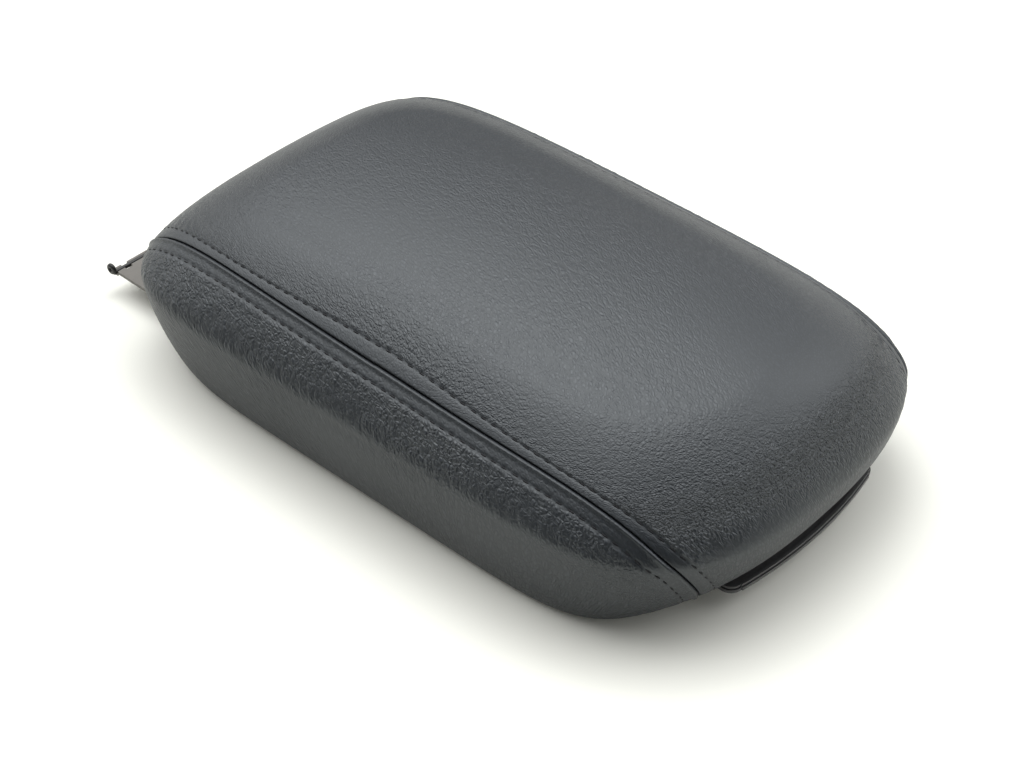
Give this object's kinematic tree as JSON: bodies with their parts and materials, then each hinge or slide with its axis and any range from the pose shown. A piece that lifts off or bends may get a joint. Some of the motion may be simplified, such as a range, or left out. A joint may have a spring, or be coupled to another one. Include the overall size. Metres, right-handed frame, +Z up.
{
  "type": "car armrest",
  "caption": "Padded lid of a car's centre armrest: black grained leather over foam on a moulded carrier, steel hinge leaf with wire rod behind, sprung latch lever in front.",
  "frame": {"origin": "on the plane that the rubber bumpers stand on, under the middle of the part's box", "axes": "+X across the lid towards its right-hand side, +Y along the lid towards the hinge end, the latch end at -Y, +Z up through the padded top"},
  "size_m": [0.1868, 0.3214, 0.072],
  "materials": {
    "leather": "black grained leather, low sheen",
    "foam": "open-cell polyurethane foam",
    "carrier_plastic": "dark moulded plastic",
    "black_plastic": "black moulded plastic, fine grain",
    "leaf_steel": "satin warm grey coated steel",
    "zinc_steel": "zinc plated",
    "spring_steel": "dark oiled spring steel",
    "black_rubber": "black rubber"
  },
  "bodies": {
    "lid": {"cover_top_panel": "leather", "cover_left_panel": "leather", "cover_right_panel": "leather", "foam_pad": "foam", "pad_carrier": "carrier_plastic", "base_panel": "black_plastic", "base_screws": "zinc_steel", "front_bumpers": "black_rubber", "rear_bumpers": "black_rubber", "hinge_leaf": "leaf_steel", "hinge_screws": "zinc_steel", "hinge_nut_plate": "zinc_steel", "hinge_rod": "spring_steel", "latch_housing": "black_plastic", "latch_screws": "zinc_steel", "latch_pin": "zinc_steel", "latch_pin_clips": "spring_steel", "latch_spring": "spring_steel", "latch_buffers": "black_rubber"},
    "latch": {"latch_lever": "black_plastic"}
  },
  "joints": [
    {"name": "latch_squeeze", "type": "hinge", "parent": "lid", "child": "latch", "pos_m": [0.0025, -0.12134, 0.0272], "axis": [-1, 0, 0], "range_deg": [0, 9], "stiffness_Nm_per_rad": 0.12, "springref_deg": -14.32, "deforming": ["latch_spring"]}
  ]
}
